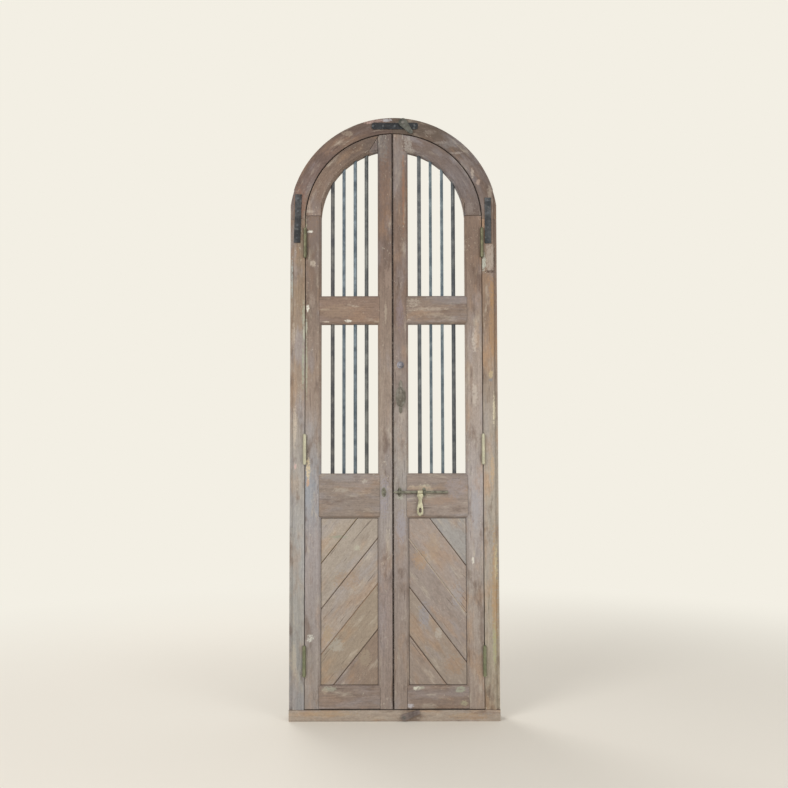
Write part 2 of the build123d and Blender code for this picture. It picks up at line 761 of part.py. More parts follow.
# The hasp hangs from the bolt: a barrel closed round the waist, a narrow neck and a slotted lobe.
hasp_barrel_radius, hasp_barrel_length = hasp_barrel
flank_points = [(hasp_x + x, bolt_height + z) for x, z in hasp_flank]
hasp_side = hasp_x + hasp_barrel_length / 2
hasp_tip = (hasp_x, bolt_height - hasp_length)
with BuildPart() as hasp:
    with BuildSketch(at_depth(bolt_y - hasp_thickness / 2)):
        with BuildLine():
            Polyline(hasp_tip, (hasp_x, bolt_height), (hasp_side, bolt_height))
            Polyline((hasp_side, bolt_height), (hasp_side, bolt_height - hasp_cheek), flank_points[0])
            Spline(*flank_points, hasp_tip, tangents=hasp_tangents)
        make_face()
        mirror(about=Plane(origin=(hasp_x, 0, 0), z_dir=(1, 0, 0)))
        with Locations((hasp_x, bolt_height - hasp_slot[2])):
            SlotOverall(hasp_slot[1], hasp_slot[0], rotation=90, mode=Mode.SUBTRACT)
    extrude(amount=-hasp_thickness)
    with Locations(Location((hasp_x, bolt_y, bolt_height), (0, 90, 0))):
        Cylinder(hasp_barrel_radius, hasp_barrel_length)
        Cylinder(waist_radius + hasp_bore_slack, 2 * hasp_barrel_length, mode=Mode.SUBTRACT)
save(hasp.part, "hasp")


def turn_button(button, angle, back):
    """A flat iron button, round at its pivot and tapering to its tail. The angle is from straight up."""
    pivot, big, small, distance, thickness = button
    tail = (pivot[0] + distance * sin(radians(angle)), pivot[1] + distance * cos(radians(angle)))
    with BuildSketch(at_depth(back - thickness)) as blade:
        with Locations(pivot):
            Circle(big)
        with Locations(tail):
            Circle(small)
        make_hull()
        with Locations(pivot):
            Circle(button_screw_radius + button_bore_slack, mode=Mode.SUBTRACT)
    deepen(blade.sketch, thickness)


with BuildPart() as top_turn_button:
    turn_button(top_button, 180 - top_button_angle, top_button_back)
save(top_turn_button.part, "top_turn_button")

with BuildPart() as bottom_turn_button:
    turn_button(bottom_button, bottom_button_angle, bottom_button_back)
save(bottom_turn_button.part, "bottom_turn_button")

# Each button turns on a round-headed screw, with a washer that holds it off the surface.
with BuildPart() as button_screws:
    for button, back, washer, seat in (
        (top_button, top_button_back, top_washer, -strap_thickness),
        (bottom_button, bottom_button_back, bottom_washer, 0),
    ):
        head_back = back - button[4] - button_play
        pegs([button[0]], button_screw_radius, (head_back, button_screw_length))
        pegs([button[0]], button_screw_head[0], (head_back - button_screw_head[1], head_back))
        pegs([button[0]], washer[0], (seat - washer[1], seat))
save(button_screws.part, "button_screws")

# The pull handle is one casting: an oval plate with pointed ends and a bowed grip, thickest at its middle.
handle_x, handle_z = handle_centre
half_w, half_h, plate_thickness = handle_plate
finial_w, finial_h, finial_drop = handle_finial
bow_rise = handle_rise + handle_set_in
bow_radius = (handle_span**2 + bow_rise**2) / (2 * bow_rise)
bow_centre_y = handle_set_in - plate_thickness + bow_radius - bow_rise
half_sweep = degrees(atan2(handle_span, bow_radius - bow_rise))
with BuildPart() as pull_handle:
    with BuildSketch(at_depth(-plate_thickness)):
        with Locations((handle_x, handle_z)):
            Ellipse(half_w, half_h)
        with Locations(*[(handle_x, handle_z + turn * finial_drop) for turn in (-1, 1)]):
            Ellipse(finial_w, finial_h)
    extrude(amount=-plate_thickness)
    for n, (wide, deep) in enumerate(handle_sections):
        angle = radians(half_sweep * (1 - 2 * n / (len(handle_sections) - 1)))
        point = (handle_x, bow_centre_y - bow_radius * cos(angle), handle_z + bow_radius * sin(angle))
        with BuildSketch(Plane(origin=point, x_dir=(1, 0, 0), z_dir=(0, sin(angle), cos(angle)))):
            Ellipse(wide, deep)
    loft()
save(pull_handle.part, "pull_handle")

with BuildPart() as knob:
    knob_x, knob_z = knob_centre
    base_radius, base_height = knob_base
    dome_radius, dome_height = knob_dome
    with BuildSketch(Plane.XY.offset(knob_z)):
        with BuildLine():
            Polyline(
                (knob_x, -base_height - dome_height),
                (knob_x, 0),
                (knob_x + base_radius, 0),
                (knob_x + base_radius, -base_height),
                (knob_x + dome_radius, -base_height),
            )
            EllipticalCenterArc((knob_x, -base_height), dome_radius, dome_height, 270, arc_size=90)
        make_face()
    revolve(axis=Axis((knob_x, 0, knob_z), (0, 1, 0)))
save(knob.part, "knob")
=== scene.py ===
import math

import bpy
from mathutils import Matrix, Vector


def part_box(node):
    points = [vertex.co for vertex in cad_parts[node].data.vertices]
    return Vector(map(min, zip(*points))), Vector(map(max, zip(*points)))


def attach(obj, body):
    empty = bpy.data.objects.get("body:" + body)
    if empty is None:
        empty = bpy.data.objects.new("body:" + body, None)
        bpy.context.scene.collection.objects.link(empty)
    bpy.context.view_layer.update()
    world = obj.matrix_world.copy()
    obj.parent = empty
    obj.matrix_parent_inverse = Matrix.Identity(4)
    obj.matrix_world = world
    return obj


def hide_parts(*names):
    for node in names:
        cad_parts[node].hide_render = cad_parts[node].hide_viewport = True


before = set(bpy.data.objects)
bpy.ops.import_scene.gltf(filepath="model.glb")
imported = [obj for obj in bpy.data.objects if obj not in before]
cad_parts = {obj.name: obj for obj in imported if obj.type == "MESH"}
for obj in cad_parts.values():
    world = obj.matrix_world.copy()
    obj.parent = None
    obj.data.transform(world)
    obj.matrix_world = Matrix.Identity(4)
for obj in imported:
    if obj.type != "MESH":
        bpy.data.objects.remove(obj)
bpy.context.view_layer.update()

# Studio: a pale floor under a cream sky, soft lamps in front, beside and behind, and the camera at
# the height of an adult's chest, looking slightly up at the middle of the door.


def linear(tone):
    """An sRGB hex colour as linear RGBA."""
    shares = [int(tone[i:i + 2], 16) / 255 for i in (1, 3, 5)]
    return [s / 12.92 if s <= 0.04045 else ((s + 0.055) / 1.055) ** 2.4 for s in shares] + [1]


def add_node(tree, kind, inputs=None, **settings):
    """Adds a node. Each input is a value or another node's output, named by its socket."""
    made = tree.nodes.new(kind)
    for name, value in settings.items():
        setattr(made, name, value)
    for name, value in (inputs or {}).items():
        if isinstance(value, bpy.types.NodeSocket):
            tree.links.new(value, made.inputs[name])
        else:
            made.inputs[name].default_value = value
    return made


def new_material(name):
    made = bpy.data.materials.new(name)
    made.use_nodes = True
    made.node_tree.nodes.clear()
    return made


def seen_as_background(tree):
    """1 where the camera sees a surface straight or in a mirror, and 0 where it only lights others."""
    ray = add_node(tree, "ShaderNodeLightPath")
    return add_node(
        tree, "ShaderNodeMath", {0: ray.outputs["Is Camera Ray"], 1: ray.outputs["Is Glossy Ray"]},
        operation="MAXIMUM").outputs[0]


cream = linear("#f3efe4")
fade_start, fade_end = 1.2, 4.0  # metres from the door over which the floor turns into the sky
bpy.ops.object.select_all(action="DESELECT")
bpy.ops.mesh.primitive_plane_add(size=14, location=(0, 0, 0))
studio_floor = bpy.context.object
studio_floor.name = "studio_floor"
# Matt paint: it has no shine, so it shows nothing of the door but its soft shadow
floor_paint = new_material("pale_matt_floor")
tree = floor_paint.node_tree
spot = add_node(tree, "ShaderNodeTexCoord").outputs["Object"]
reach = add_node(tree, "ShaderNodeVectorMath", {0: spot}, operation="LENGTH").outputs["Value"]
far = add_node(
    tree, "ShaderNodeMapRange", {"Value": reach, "From Min": fade_start, "From Max": fade_end},
    interpolation_type="SMOOTHSTEP").outputs["Result"]
fade = add_node(
    tree, "ShaderNodeMath", {0: far, 1: seen_as_background(tree)}, operation="MULTIPLY").outputs[0]
matt = add_node(tree, "ShaderNodeBsdfPrincipled", {
    "Base Color": linear("#e9e3d8"), "Roughness": 0.9, "Specular IOR Level": 0.1})
glow = add_node(tree, "ShaderNodeEmission", {"Color": cream, "Strength": 1.0})
blend = add_node(tree, "ShaderNodeMixShader", {0: fade, 1: matt.outputs[0], 2: glow.outputs[0]})
add_node(tree, "ShaderNodeOutputMaterial", {"Surface": blend.outputs[0]})
studio_floor.data.materials.append(floor_paint)

world = bpy.data.worlds.new("soft_sky")
bpy.context.scene.world = world
world.use_nodes = True
tree = world.node_tree
tree.nodes.clear()
fill = add_node(tree, "ShaderNodeBackground", {"Color": linear("#f4f3f1"), "Strength": 0.62})
sky = add_node(tree, "ShaderNodeBackground", {"Color": cream, "Strength": 1.0})
both = add_node(tree, "ShaderNodeMixShader", {
    0: seen_as_background(tree), 1: fill.outputs[0], 2: sky.outputs[0]})
add_node(tree, "ShaderNodeOutputWorld", {"Surface": both.outputs[0]})

door_middle = Vector((0, 0, 1.2))
for name, place, size, watts in (
        ("key", (-2.6, -3.6, 3.4), 2.4, 92),
        ("fill", (3.0, -3.4, 1.8), 2.6, 50),
        ("back", (-1.6, 3.2, 3.0), 2.4, 60)):
    bpy.ops.object.light_add(type="AREA", location=place)
    lamp = bpy.context.object
    lamp.name = f"{name}_lamp"
    lamp.data.shape = "DISK"
    lamp.data.size = size
    lamp.data.energy = watts
    lamp.rotation_mode = "QUATERNION"
    lamp.rotation_quaternion = (door_middle - Vector(place)).to_track_quat("-Z", "Y")

bpy.ops.object.camera_add(location=(0, -4.0, 1.10))
camera = bpy.context.object
camera.data.sensor_width = 36
camera.data.lens = 44.86
# It looks 3 degrees up and leans a little to one side, as a camera held in the hands does
camera.rotation_euler = (math.radians(93.07), math.radians(0.13), 0)
bpy.context.scene.camera = camera
bpy.context.scene.view_settings.view_transform = "Standard"


# Sill and jambs: old teak planed by hand and left in the weather, tenoned together. The jambs are
# browner under the arch and greyer near the ground, with cream paint left in streaks.


def copy_node(node, name, flat_faces=True):
    """A copy of a CAD node's mesh with no material, each flat face merged unless it is pierced."""
    made = bpy.data.objects.new(name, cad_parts[node].data.copy())
    bpy.context.scene.collection.objects.link(made)
    made.data.materials.clear()
    bpy.ops.object.select_all(action="DESELECT")
    made.select_set(True)
    bpy.context.view_layer.objects.active = made
    if made.data.has_custom_normals:
        bpy.ops.mesh.customdata_custom_splitnormals_clear()
    bpy.ops.object.mode_set(mode="EDIT")
    bpy.ops.mesh.select_all(action="SELECT")
    bpy.ops.mesh.remove_doubles(threshold=0.00002)
    if flat_faces:
        bpy.ops.mesh.dissolve_limited(angle_limit=math.radians(0.5))
    bpy.ops.object.mode_set(mode="OBJECT")
    return made


def ease_arrises(piece, width, wanted=lambda place: True, steps=2, finish=-1):
    """Rounds the sharp edges whose two ends are both wanted. The piece is active. The rounding takes
    the finish of that number, or with -1 that of its neighbours."""
    bpy.ops.object.mode_set(mode="EDIT")
    bpy.ops.mesh.select_mode(type="EDGE")
    bpy.ops.mesh.select_all(action="DESELECT")
    bpy.ops.mesh.edges_select_sharp(sharpness=math.radians(50))
    bpy.ops.object.mode_set(mode="OBJECT")
    shortest = 2.5 * width  # shorter edges are left sharp, because a bevel would cross itself there
    points = piece.data.vertices
    for edge in piece.data.edges:
        first, last = (points[i].co for i in edge.vertices)
        if (first - last).length < shortest or not (wanted(first) and wanted(last)):
            edge.select = False
    bpy.ops.object.mode_set(mode="EDIT")
    bpy.ops.mesh.bevel(offset=width, segments=steps, profile=0.5, affect="EDGES",
                       clamp_overlap=False, material=finish)
    bpy.ops.object.mode_set(mode="OBJECT")


def tint(tree, colour, tone, strength, *limits):
    """Covers a colour with a tone. The strength is a number or a pattern. Each limit is a pattern, and
    the values of it at which the stain starts and at which it is at its strongest."""
    share = strength
    for pattern, start, full in limits:
        share = add_node(tree, "ShaderNodeMapRange", {
            "Value": pattern, "From Min": start, "From Max": full, "To Max": share},
            interpolation_type="SMOOTHSTEP").outputs["Result"]
    factor, first, second, mixed = 0, 6, 7, 2  # the sockets that a Mix node set to colours uses
    return add_node(tree, "ShaderNodeMix", {factor: share, first: colour, second: linear(tone)},
                    data_type="RGBA").outputs[mixed]


UPRIGHT, LEVEL, CURVED = math.radians(90), 0.0, None  # which way the grain runs
springing_height = 2.03  # the centre of the arch
plank_radius = 0.4  # the arch's radius, along which curved grain is measured


def weathered_teak(name, grain, tones, seed, tan, lilac, patches=(), seams=(), wear=1.0,
                   streaks=1.0, damp=1.0, deep=0.006):
    """Teak left bare in sun and rain. It has no shine left: the eye sees dry grey-brown fibres that
    stand up, fine checks, and flecks of old limewash and paint.

    The grain rises at an angle or is drawn round the arch. tones are (height, colour) from the ground
    up. patches are old paint or bare places on the front: (x, z, half width, half height, colour,
    strength). seams are dark lines of dirt and painted shade along joints, gaps and recess edges: (axis,
    place on it, half width, strength), all in millimetres. They fade at deep metres behind the front."""
    made = new_material(name)
    tree = made.node_tree
    spot = add_node(tree, "ShaderNodeTexCoord").outputs["Object"]
    parts = add_node(tree, "ShaderNodeSeparateXYZ", {0: spot}).outputs
    axes = {"X": parts["X"], "Y": parts["Y"], "Z": parts["Z"]}
    up = add_node(tree, "ShaderNodeMath", {0: axes["Z"], 1: springing_height},
                  operation="SUBTRACT").outputs[0]
    flat = add_node(tree, "ShaderNodeCombineXYZ", {0: axes["X"], 2: up}).outputs[0]
    axes["R"] = add_node(tree, "ShaderNodeVectorMath", {0: flat}, operation="LENGTH").outputs["Value"]
    if grain is CURVED:
        turn = add_node(tree, "ShaderNodeMath", {0: axes["X"], 1: up}, operation="ARCTAN2").outputs[0]
        along = add_node(tree, "ShaderNodeMath", {0: turn, 1: plank_radius},
                         operation="MULTIPLY").outputs[0]
        plank = add_node(tree, "ShaderNodeCombineXYZ", {
            0: along, 1: axes["Y"], 2: axes["R"]}).outputs[0]
    else:
        plank = add_node(tree, "ShaderNodeMapping", {
            "Vector": spot, "Rotation": (0, grain, 0)}).outputs[0]
    plank = add_node(tree, "ShaderNodeVectorMath", {
        0: plank, 1: (seed * 1.7, seed * 0.9, seed * 1.3)}, operation="ADD").outputs[0]

    def figure(size, detail=2.0, rough=0.5, shift=0.0):
        """The wood's figure, in blotches of a size (along, across, through the plank) in millimetres."""
        along, across, through = size
        scaled = add_node(tree, "ShaderNodeVectorMath", {
            0: plank, 1: (1000 / along, 1000 / through, 1000 / across),
            2: (shift, shift * 2, shift * 3)}, operation="MULTIPLY_ADD").outputs[0]
        return add_node(tree, "ShaderNodeTexNoise", {
            "Vector": scaled, "Scale": 1.0, "Detail": detail, "Roughness": rough}).outputs["Fac"]

    # Browner above and greyer below
    colour = linear(tones[0][1])
    for (low, _), (high, tone) in zip(tones, tones[1:]):
        colour = tint(tree, colour, tone, 1, (axes["Z"], low, high))
    # Bleached tan, silver grey, damp dark and dry pale places, a hand's breadth across
    for size, start, full, strength, shift, tone in (
            ((210, 75, 90), 0.49, 0.66, 0.75 * tan, 0.0, "#b3906f"),
            ((260, 80, 90), 0.49, 0.65, 0.80 * lilac, 7.3, "#9b989c"),
            ((170, 60, 90), 0.53, 0.70, 0.60 * damp, 3.1, "#6b584c"),
            ((90, 34, 40), 0.53, 0.74, 0.32, 6.7, "#7a685d"),
            ((120, 30, 60), 0.55, 0.72, 0.50, 11.9, "#bdb2a2")):
        colour = tint(tree, colour, tone, strength, (figure(size, 4, 0.65, shift), start, full))
    # Growth rings 22 mm apart, fibres 5 mm wide and grit, all coarser than real so that they show
    fibres = figure((95, 5, 7), 4, 0.7)
    shade = 1.0
    for grains, strength in ((figure((900, 22, 40), 3, 0.6, 1.9), 0.36 * streaks),
                             (fibres, 0.62 * streaks),
                             (figure((16, 9, 9), 3, 0.75, 5.1), 0.50),
                             (figure((7, 4.5, 5), 2, 0.8, 8.3), 0.42)):
        darkest = add_node(tree, "ShaderNodeMath", {0: shade, 1: strength / 2},
                           operation="SUBTRACT").outputs[0]
        shade = add_node(tree, "ShaderNodeMath", {0: grains, 1: strength, 2: darkest},
                         operation="MULTIPLY_ADD").outputs[0]
    colour = add_node(tree, "ShaderNodeVectorMath", {0: colour, "Scale": shade},
                      operation="SCALE").outputs[0]
    # Drying checks along the grain, about 4 mm wide, coarser than real so that they show
    checks = figure((130, 4, 14), 2, 0.5, 9.7)
    check_edge, check_middle = 0.69, 0.75
    colour = tint(tree, colour, "#4a3e37", 0.65, (checks, check_edge, check_middle))
    # Specks of old limewash and paint, 7 to 12 mm long
    flakes = figure((12, 7, 7), 3, 0.7, 4.4)
    worn_places = figure((150, 110, 110), 3, 0.6, 2.2)
    colour = tint(tree, colour, "#cfc6b4", 0.6 * wear, (worn_places, 0.46, 0.64), (flakes, 0.60, 0.68))
    # Old paint breaks off in a ragged edge, in steps of about 10 mm
    if patches:
        ragged = add_node(tree, "ShaderNodeTexNoise", {
            "Vector": spot, "Scale": 105.0, "Detail": 5.0, "Roughness": 0.75}).outputs["Color"]
        wander = add_node(tree, "ShaderNodeVectorMath", {
            0: ragged, 1: (3.2, 0, 3.2), 2: (-1.6, 0, -1.6)}, operation="MULTIPLY_ADD").outputs[0]
    for x, z, wide, tall, tone, strength in patches:
        # 0 at the patch's middle and 1 at its edge, 22 mm behind the front too
        away = add_node(tree, "ShaderNodeVectorMath", {0: spot, 1: (x / 1000, 0, z / 1000)},
                        operation="SUBTRACT").outputs[0]
        away = add_node(tree, "ShaderNodeVectorMath", {
            0: away, 1: (1000 / wide, 45.0, 1000 / tall), 2: wander},
            operation="MULTIPLY_ADD").outputs[0]
        away = add_node(tree, "ShaderNodeVectorMath", {0: away}, operation="LENGTH").outputs["Value"]
        colour = tint(tree, colour, tone, strength, (flakes, 0.30, 0.52), (away, 1.25, 0.8))
    # Seams: a near black line of dirt and painted shade along a joint, gap or recess edge
    for axis, place, half, strength in seams:
        off = add_node(tree, "ShaderNodeMath", {0: axes[axis], 1: place / 1000},
                       operation="SUBTRACT").outputs[0]
        off = add_node(tree, "ShaderNodeMath", {0: off}, operation="ABSOLUTE").outputs[0]
        colour = tint(tree, colour, "#2b231f", strength, (flakes, 0.1, 0.5),
                       (axes["Y"], deep + 0.003, deep), (off, half / 1000, half / 2500))
    furrows = add_node(tree, "ShaderNodeMapRange", {
        "Value": checks, "From Min": check_edge, "From Max": check_middle, "To Max": -1.4},
        interpolation_type="SMOOTHSTEP").outputs["Result"]
    relief = add_node(tree, "ShaderNodeMath", {0: furrows, 1: fibres}, operation="ADD").outputs[0]
    bump = add_node(tree, "ShaderNodeBump", {"Strength": 0.6, "Distance": 0.0015, "Height": relief})
    shader = add_node(tree, "ShaderNodeBsdfPrincipled", {
        "Base Color": colour, "Roughness": 0.86, "Specular IOR Level": 0.22,
        "Normal": bump.outputs["Normal"]})
    add_node(tree, "ShaderNodeOutputMaterial", {"Surface": shader.outputs[0]})
    return made


def joint_grime_and_light(name, dark, light):
    """Teak where two pieces meet, full of dirt, damp or old paint. It is dull and crumbly, and its flat
    colour also stands for the light there: dark for painted shade in the joint, pale for a painted
    highlight on its edge, so that the joint reads as a fine line."""
    made = new_material(name)
    tree = made.node_tree
    spot = add_node(tree, "ShaderNodeTexCoord").outputs["Object"]
    # Crumbs 11 mm across, coarser than real so that they show
    crumbs = add_node(tree, "ShaderNodeTexNoise", {
        "Vector": spot, "Scale": 90.0, "Detail": 3.0}).outputs["Fac"]
    colour = tint(tree, linear(dark), light, crumbs)
    shader = add_node(tree, "ShaderNodeBsdfPrincipled", {
        "Base Color": colour, "Roughness": 0.95, "Specular IOR Level": 0.1})
    add_node(tree, "ShaderNodeOutputMaterial", {"Surface": shader.outputs[0]})
    return made


# Near black on the rails' eased arrises: dirt, and painted shade in the joints and along the openings
joint_dirt_and_shade = joint_grime_and_light("black_dirt_and_painted_shade_in_the_joints", "#171210", "#3f352f")
frame_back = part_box("sill")[1].y
outer_step = 0.012  # the frame's outer margin lies this far behind its front
face_slack = 0.0003


def on_frame_faces(place):
    return any(abs(place.y - face) < face_slack for face in (0, outer_step, frame_back))


def wood_piece(node, teak, dirt=joint_dirt_and_shade):
    """A copy of a timber's CAD node, with a second finish for the joints: dirt with painted shade, or a
    painted highlight. Rails and stiles are pierced, and keep the faces that they have."""
    made = copy_node(node, f"teak_{node}", not node.endswith(("rail", "stile")))
    made.data.materials.append(teak)
    made.data.materials.append(dirt)
    return made


def hand_over(piece, node, body, smooth=28):
    """Smooths a finished piece, and lets it stand for its CAD node."""
    bpy.ops.object.shade_smooth_by_angle(angle=math.radians(smooth))
    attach(piece, body)
    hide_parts(node)


jamb_finish = {
    "left": {
        "tones": [
            (0.1, "#9e9c99"), (0.45, "#a09d98"), (0.7, "#a8a6a3"), (1.0, "#a9a39c"),
            (1.43, "#9b8a7b"), (1.75, "#93816f"), (2.1, "#83705f")],
        "seed": 3, "tan": 0.35, "lilac": 0.6,
        "patches": [
            (-418, 1790, 4, 90, "#b9c0ba", 0.8), (-369, 1640, 5, 50, "#b3b8a2", 0.65),
            (-366, 1560, 6, 26, "#bdc0ac", 0.7), (-371, 1430, 4, 90, "#a9b19a", 0.7),
            (-405, 1180, 8, 70, "#cfc2b0", 0.6), (-412, 1560, 7, 60, "#cdbfae", 0.5),
            (-407, 250, 12, 60, "#c3b9a6", 0.5), (-401, 1020, 5, 12, "#d9b9b2", 0.7)]},
    "right": {
        "tones": [(0.1, "#aa9f8e"), (1.0, "#aca397"), (1.7, "#8e7968"), (2.1, "#7e6d62")],
        "seed": 4, "tan": 0.75, "lilac": 0.3,
        "patches": [
            (397, 1872, 20, 56, "#aa9d90", 0.95), (370, 1855, 9, 34, "#b9bbae", 0.9),
            (398, 1817, 20, 5, "#5a4c44", 0.9), (416, 1872, 4, 50, "#5f5148", 0.8),
            (403, 1590, 11, 120, "#ad8b66", 0.55), (404, 1730, 12, 60, "#b08a5e", 0.6),
            (409, 1250, 6, 60, "#d6cdb2", 0.85), (396, 1394, 9, 14, "#c4b28c", 0.75),
            (396, 1371, 7, 6, "#85888a", 0.85), (408, 500, 12, 240, "#b5946c", 0.65),
            (412, 640, 6, 90, "#d2c8a8", 0.7), (404, 300, 8, 80, "#aeb890", 0.5),
            (400, 1000, 8, 60, "#c6a986", 0.6)]}}
for side, finish in jamb_finish.items():
    jamb = wood_piece(f"{side}_jamb", weathered_teak(f"weathered_teak_{side}_jamb", UPRIGHT, **finish))
    ease_arrises(jamb, 0.0015, on_frame_faces)
    hand_over(jamb, f"{side}_jamb", "frame")

# The seam draws a dark line of dirt and painted shade 46 mm up the sill's front
sill_teak = weathered_teak(
    "weathered_teak_sill", LEVEL, [(0, "#a99b8d")], seed=6, tan=0.6, lilac=0.3,
    patches=[(-260, 30, 90, 10, "#b39a7c", 0.5), (300, 20, 80, 12, "#a98e72", 0.5)],
    seams=[("Z", 46, 2.5, 0.7)], wear=0.7, streaks=0.8)
sill = wood_piece("sill", sill_teak)
ease_arrises(sill, 0.0018, on_frame_faces)
hand_over(sill, "sill", "frame")


# Arch of the frame: two segments sawn to the curve and tongued at the crown, darker than the jambs
# because the grime gathers there. Its grain is drawn round the curve.

arch_finish = {
    "left": {
        "tones": [(2.0, "#806e61"), (2.25, "#73615a"), (2.44, "#67574f")],
        "seed": 8,
        "patches": [
            (-190, 2395, 22, 10, "#a39382", 0.5), (-385, 2110, 24, 60, "#8f6650", 0.45),
            (-300, 2290, 30, 24, "#5f5048", 0.5), (-356, 2240, 14, 30, "#6a584d", 0.5),
            (-100, 2430, 60, 10, "#6a5b52", 0.6), (-72, 2449, 34, 6, "#a98f86", 0.7),
            (-26, 2450, 20, 6, "#b4b3b6", 0.8), (-104, 2441, 18, 6, "#c2a59b", 0.6)]},
    "right": {
        "tones": [(2.0, "#826f60"), (2.2, "#6f625c"), (2.44, "#66594f")],
        "seed": 9,
        "patches": [
            (150, 2400, 22, 9, "#978b80", 0.4), (230, 2350, 34, 16, "#8e8a88", 0.4),
            (300, 2270, 22, 18, "#8b8079", 0.5), (262, 2312, 26, 5, "#aaa098", 0.5),
            (326, 2226, 6, 22, "#b5a89b", 0.7), (196, 2356, 30, 5, "#9f958d", 0.4),
            (350, 2190, 8, 12, "#b9a394", 0.6), (396, 2145, 8, 30, "#a99c8e", 0.5)]}}
rebate_seam = ("R", 364.5, 2, 0.6)  # dirt and painted shade where the leaves close against the arch
for side, finish in arch_finish.items():
    teak = weathered_teak(f"weathered_teak_{side}_arch", CURVED, seams=[rebate_seam],
                          tan=0.3, lilac=0.35, **finish)
    segment = wood_piece(f"{side}_arch_segment", teak)
    ease_arrises(segment, 0.0015, on_frame_faces)
    hand_over(segment, f"{side}_arch_segment", "frame")


# Leaf stiles: straight teak planks, mortised for the rails. The meeting stiles are handled most and
# stay browner, and the hinge stiles carry streaks of cream paint.

leaf_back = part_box("left_hinge_stile")[1].y


def on_leaf_faces(place):
    return any(abs(place.y - face) < face_slack for face in (0, leaf_back))


stile_finish = {
    "left_hinge_stile": {
        "tones": [
            (0.1, "#9a9089"), (0.7, "#a09896"), (0.92, "#9a9ca1"), (1.15, "#a09893"),
            (1.3, "#97877b"), (1.9, "#7b6b60")],
        "seed": 11, "tan": 0.3, "lilac": 0.45,
        "patches": [
            (-331, 1985, 34, 70, "#7d716c", 0.6), (-343, 1985, 11, 5, "#dcd8cc", 1.0),
            (-366, 2012, 8, 26, "#a9a58a", 0.7), (-372, 1935, 6, 50, "#a3a68c", 0.6),
            (-331, 1852, 11, 12, "#cfc3b2", 0.9), (-358, 1590, 5, 30, "#bfc1ae", 0.6),
            (-352, 1668, 5, 14, "#e0dccf", 1.0), (-357, 1420, 4, 120, "#a9ad98", 0.6),
            (-349, 1010, 8, 45, "#d5c4a4", 0.85), (-350, 955, 7, 14, "#c9a488", 0.8),
            (-338, 330, 13, 12, "#cfcdc4", 0.9), (-335, 1700, 12, 30, "#a4968a", 0.5),
            (-330, 1800, 14, 90, "#7d6b60", 0.4)]},
    "left_meeting_stile": {
        "tones": [
            (0.1, "#94867d"), (0.45, "#968882"), (0.8, "#9d948f"), (1.3, "#998a7e"),
            (1.67, "#8b7a6e"), (1.95, "#78675e"), (2.35, "#6e625d")],
        "seed": 12, "tan": 0.35, "lilac": 0.35,
        "patches": [
            (-41, 912, 13, 24, "#9fa08c", 0.45), (-35, 2180, 22, 180, "#8c6f5c", 0.4),
            (-24, 1790, 18, 40, "#a08d80", 0.5), (-33, 1650, 5, 40, "#b0a292", 0.6),
            (-40, 900, 20, 70, "#9f9aa2", 0.5), (-45, 2340, 22, 60, "#84807c", 0.45)]},
    "right_hinge_stile": {
        "tones": [
            (0.1, "#9a8c81"), (0.45, "#a3988f"), (0.9, "#a69e9b"), (1.3, "#a6998f"),
            (1.9, "#847164")],
        "seed": 13, "tan": 0.5, "lilac": 0.4,
        "patches": [
            (331, 1537, 10, 46, "#c6bbaf", 0.8), (330, 1312, 10, 42, "#c3b8ac", 0.75),
            (340, 1560, 10, 60, "#b59d88", 0.5), (318, 640, 5, 14, "#dcd8cc", 0.9),
            (330, 850, 16, 80, "#a8a6aa", 0.5)]},
    "right_meeting_stile": {
        "tones": [
            (0.1, "#95877d"), (0.75, "#988d87"), (0.95, "#9d9690"), (1.25, "#9a9089"),
            (1.43, "#8b7d75"), (1.8, "#7d6a5e"), (2.35, "#7b6c63")],
        "seed": 14, "tan": 0.35, "lilac": 0.4,
        "patches": [
            (24, 905, 13, 20, "#b6b6a8", 0.6), (22, 2290, 20, 110, "#8f857d", 0.5),
            (41, 2150, 5, 160, "#9b6f52", 0.5), (25, 1640, 14, 60, "#8e8084", 0.5),
            (28, 780, 18, 60, "#a39fa6", 0.6), (46, 2390, 12, 24, "#b5aea4", 0.6)]}}
opening_edges = {"left_hinge_stile": -297.5, "left_meeting_stile": -65,  # millimetres, as seams are
                 "right_hinge_stile": 292.5, "right_meeting_stile": 59}
meeting_line = -0.003  # the leaves meet a little left of the middle
closing_margin = 0.0075  # no arris is eased nearer to the meeting line, or light would pass there
# A dark band along the meeting line: painted shade in the gap between the leaves, and dirt
meeting_seam = ("X", -4.2, 5.5, 1.0)
paint_on_edge = 0.00049  # old paint on each closing edge, which nearly fills the gap
front_corner = 0.0004  # the closing edges slope back, and the paint is only on their front corner
for node, finish in stile_finish.items():
    side, place_in_leaf, _ = node.split("_")
    # A dark line of dirt and painted shade along the edge of the barred opening
    opening_seam = ("X", opening_edges[node], 2.5, 0.6)
    teak = weathered_teak(f"weathered_teak_{node}", UPRIGHT, seams=[opening_seam, meeting_seam],
                          **finish)
    stile = wood_piece(node, teak)
    margin = 0
    if place_in_leaf == "meeting":
        margin = closing_margin
        closing, outward = (max, 1) if side == "left" else (min, -1)
        edge_x = closing(point.co.x for point in stile.data.vertices)
        for point in stile.data.vertices:
            if abs(point.co.x - edge_x) < front_corner:
                point.co.x += outward * paint_on_edge

    def at_an_edge(place):
        return on_leaf_faces(place) and abs(place.x - meeting_line) > margin

    ease_arrises(stile, 0.0014, at_an_edge)
    hand_over(stile, node, f"{side}_leaf")
